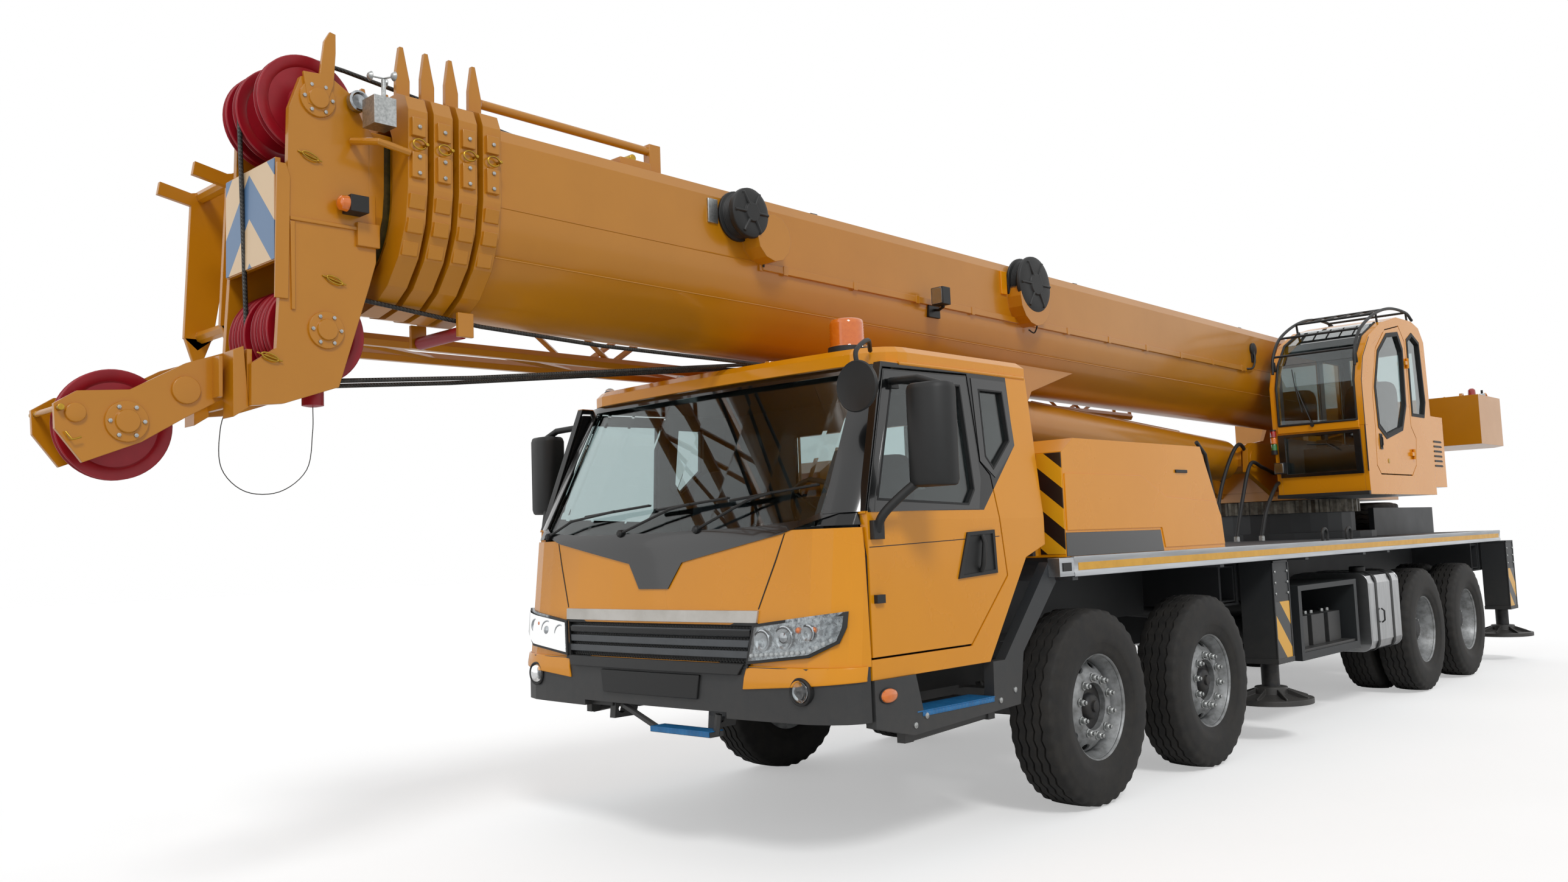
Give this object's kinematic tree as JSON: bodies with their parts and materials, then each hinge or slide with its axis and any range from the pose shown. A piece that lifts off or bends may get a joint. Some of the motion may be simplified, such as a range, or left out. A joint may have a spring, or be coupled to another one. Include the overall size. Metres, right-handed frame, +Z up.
{
  "type": "truck crane",
  "caption": "Telescopic-boom truck crane on a twin-steer carrier, with driver's cab, slewing operator's cab, stowed lattice jib and retracted outriggers.",
  "frame": {"origin": "centre of the machine's bounding box, on the ground", "axes": "-Y is forward, +X is the machine's left, +Z is up"},
  "size_m": [3.28, 14.475, 3.7648],
  "materials": {
    "body_paint": "glossy orange-yellow",
    "dark_paint": "satin dark grey",
    "black_plastic": "matt black",
    "cab_glazing": "clear tinted",
    "tyre_rubber": "matt",
    "machined_steel": "machined",
    "sheave_red": "satin deep red",
    "tank_steel": "brushed stainless"
  },
  "bodies": {
    "chassis": {"chassis_frame": "dark_paint", "deck": "dark_paint", "slewing_ring": "machined_steel", "front_bumper": "dark_paint", "cab_floor": "dark_paint", "cab_front": "body_paint", "cab_sides": "body_paint", "cab_roof": "body_paint", "cab_glass": "cab_glazing", "cab_interior": "black_plastic", "engine": "dark_paint", "side_boxes": "body_paint", "tanks": "tank_steel", "axle_beams": "dark_paint", "spare_wheel": "tyre_rubber"},
    "turret": {"turret": "body_paint", "counterweight": "body_paint", "winches": "body_paint", "opcab_shell": "body_paint", "opcab_sides": "body_paint", "opcab_glass": "cab_glazing", "opcab_interior": "black_plastic"},
    "opcab_door": {"opcab_door": "body_paint", "opcab_door_glass": "cab_glazing"},
    "luff_barrel": {"luff_barrel": "body_paint"},
    "luff_rod": {"luff_rod": "machined_steel"},
    "boom_1": {"boom_section_1": "body_paint", "fly_jib": "body_paint"},
    "boom_2": {"boom_section_2": "body_paint"},
    "boom_3": {"boom_section_3": "body_paint"},
    "boom_4": {"boom_section_4": "body_paint"},
    "boom_5": {"boom_section_5": "body_paint", "head_sheaves": "sheave_red", "aux_arm": "body_paint"},
    "wheel_1_left": {"wheel_1_left": "tyre_rubber"},
    "knuckle_1_left": {"knuckle_1_left": "dark_paint"},
    "wheel_1_right": {"wheel_1_right": "tyre_rubber"},
    "knuckle_1_right": {"knuckle_1_right": "dark_paint"},
    "wheel_2_left": {"wheel_2_left": "tyre_rubber"},
    "knuckle_2_left": {"knuckle_2_left": "dark_paint"},
    "wheel_2_right": {"wheel_2_right": "tyre_rubber"},
    "knuckle_2_right": {"knuckle_2_right": "dark_paint"},
    "wheel_3_left": {"wheel_3_left": "tyre_rubber"},
    "wheel_3_right": {"wheel_3_right": "tyre_rubber"},
    "wheel_4_left": {"wheel_4_left": "tyre_rubber"},
    "wheel_4_right": {"wheel_4_right": "tyre_rubber"},
    "door_left": {"door_left": "body_paint", "door_glass_left": "cab_glazing", "mirror_left": "black_plastic"},
    "door_right": {"door_right": "body_paint", "door_glass_right": "cab_glazing", "mirror_right": "black_plastic"},
    "beam_front_left": {"beam_front_left": "dark_paint"},
    "jack_front_left": {"jack_front_left": "machined_steel"},
    "beam_front_right": {"beam_front_right": "dark_paint"},
    "jack_front_right": {"jack_front_right": "machined_steel"},
    "beam_rear_left": {"beam_rear_left": "dark_paint"},
    "jack_rear_left": {"jack_rear_left": "machined_steel"},
    "beam_rear_right": {"beam_rear_right": "dark_paint"},
    "jack_rear_right": {"jack_rear_right": "machined_steel"}
  },
  "joints": [
    {"name": "steer_1_left", "type": "hinge", "parent": "chassis", "child": "knuckle_1_left", "pos_m": [0.95, -2.1825, 0.56], "axis": [0, 0, 1], "range_deg": [-35, 35]},
    {"name": "spin_1_left", "type": "hinge", "parent": "knuckle_1_left", "child": "wheel_1_left", "pos_m": [1.221, -2.1825, 0.56], "axis": [1, 0, 0], "continuous": true},
    {"name": "steer_1_right", "type": "hinge", "parent": "chassis", "child": "knuckle_1_right", "pos_m": [-0.95, -2.1825, 0.56], "axis": [0, 0, 1], "range_deg": [-35, 35]},
    {"name": "spin_1_right", "type": "hinge", "parent": "knuckle_1_right", "child": "wheel_1_right", "pos_m": [-1.221, -2.1825, 0.56], "axis": [1, 0, 0], "continuous": true},
    {"name": "steer_2_left", "type": "hinge", "parent": "chassis", "child": "knuckle_2_left", "pos_m": [0.95, -0.7275, 0.56], "axis": [0, 0, 1], "range_deg": [-26, 26]},
    {"name": "spin_2_left", "type": "hinge", "parent": "knuckle_2_left", "child": "wheel_2_left", "pos_m": [1.221, -0.7275, 0.56], "axis": [1, 0, 0], "continuous": true},
    {"name": "steer_2_right", "type": "hinge", "parent": "chassis", "child": "knuckle_2_right", "pos_m": [-0.95, -0.7275, 0.56], "axis": [0, 0, 1], "range_deg": [-26, 26]},
    {"name": "spin_2_right", "type": "hinge", "parent": "knuckle_2_right", "child": "wheel_2_right", "pos_m": [-1.221, -0.7275, 0.56], "axis": [1, 0, 0], "continuous": true},
    {"name": "spin_3_left", "type": "hinge", "parent": "chassis", "child": "wheel_3_left", "pos_m": [1.0225, 3.8275, 0.56], "axis": [1, 0, 0], "continuous": true},
    {"name": "spin_3_right", "type": "hinge", "parent": "chassis", "child": "wheel_3_right", "pos_m": [-1.0225, 3.8275, 0.56], "axis": [1, 0, 0], "continuous": true},
    {"name": "spin_4_left", "type": "hinge", "parent": "chassis", "child": "wheel_4_left", "pos_m": [1.0225, 5.1775, 0.56], "axis": [1, 0, 0], "continuous": true},
    {"name": "spin_4_right", "type": "hinge", "parent": "chassis", "child": "wheel_4_right", "pos_m": [-1.0225, 5.1775, 0.56], "axis": [1, 0, 0], "continuous": true},
    {"name": "door_left_hinge", "type": "hinge", "parent": "chassis", "child": "door_left", "pos_m": [1.288, -4.1285, 1.5], "axis": [0, 0, -1], "range_deg": [0, 70]},
    {"name": "door_right_hinge", "type": "hinge", "parent": "chassis", "child": "door_right", "pos_m": [-1.288, -4.1285, 1.5], "axis": [0, 0, 1], "range_deg": [0, 70]},
    {"name": "slew", "type": "hinge", "parent": "chassis", "child": "turret", "pos_m": [0, 3.9175, 1.79], "axis": [0, 0, 1], "continuous": true},
    {"name": "opcab_door_hinge", "type": "hinge", "parent": "turret", "child": "opcab_door", "pos_m": [1.315, 4.0625, 2.6], "axis": [0, 0, 1], "range_deg": [0, 90]},
    {"name": "boom_luff", "type": "hinge", "parent": "turret", "child": "boom_1", "pos_m": [0, 5.4675, 3.02], "axis": [-1, 0, 0], "range_deg": [0, 80]},
    {"name": "luff_barrel_swing", "type": "hinge", "parent": "turret", "child": "luff_barrel", "pos_m": [0, 2.7175, 2.18], "axis": [-1, 0, 0], "range_deg": [0, 94.97]},
    {"name": "luff_rod_slide", "type": "slide", "parent": "luff_barrel", "child": "luff_rod", "axis": [0, -0.9986, 0.0531], "range_m": [0, 3.447]},
    {"name": "telescope_2", "type": "slide", "parent": "boom_1", "child": "boom_2", "axis": [0, -0.9999, 0.0131], "range_m": [0, 8.65]},
    {"name": "telescope_3", "type": "slide", "parent": "boom_2", "child": "boom_3", "axis": [0, -0.9999, 0.0131], "range_m": [0, 8.65]},
    {"name": "telescope_4", "type": "slide", "parent": "boom_3", "child": "boom_4", "axis": [0, -0.9999, 0.0131], "range_m": [0, 8.65]},
    {"name": "telescope_5", "type": "slide", "parent": "boom_4", "child": "boom_5", "axis": [0, -0.9999, 0.0131], "range_m": [0, 8.65]},
    {"name": "outrigger_front_left", "type": "slide", "parent": "chassis", "child": "beam_front_left", "axis": [1, 0, 0], "range_m": [0, 1.7]},
    {"name": "jack_front_left_slide", "type": "slide", "parent": "beam_front_left", "child": "jack_front_left", "axis": [0, 0, -1], "range_m": [0, 0.6]},
    {"name": "outrigger_front_right", "type": "slide", "parent": "chassis", "child": "beam_front_right", "axis": [-1, 0, 0], "range_m": [0, 1.7]},
    {"name": "jack_front_right_slide", "type": "slide", "parent": "beam_front_right", "child": "jack_front_right", "axis": [0, 0, -1], "range_m": [0, 0.6]},
    {"name": "outrigger_rear_left", "type": "slide", "parent": "chassis", "child": "beam_rear_left", "axis": [1, 0, 0], "range_m": [0, 1.7]},
    {"name": "jack_rear_left_slide", "type": "slide", "parent": "beam_rear_left", "child": "jack_rear_left", "axis": [0, 0, -1], "range_m": [0, 0.6]},
    {"name": "outrigger_rear_right", "type": "slide", "parent": "chassis", "child": "beam_rear_right", "axis": [-1, 0, 0], "range_m": [0, 1.7]},
    {"name": "jack_rear_right_slide", "type": "slide", "parent": "beam_rear_right", "child": "jack_rear_right", "axis": [0, 0, -1], "range_m": [0, 0.6]}
  ],
  "couplings": [
    {"joint": "steer_1_right", "follows": "steer_1_left", "ratio": 1},
    {"joint": "steer_2_left", "follows": "steer_1_left", "ratio": 0.7143},
    {"joint": "steer_2_right", "follows": "steer_1_left", "ratio": 0.7143},
    {"joint": "luff_barrel_swing", "follows": "boom_luff", "ratio": 1.1808},
    {"joint": "luff_rod_slide", "follows": "boom_luff", "m_per_rad": 2.4613},
    {"joint": "telescope_3", "follows": "telescope_2", "ratio": 1},
    {"joint": "telescope_4", "follows": "telescope_2", "ratio": 1},
    {"joint": "telescope_5", "follows": "telescope_2", "ratio": 1}
  ]
}
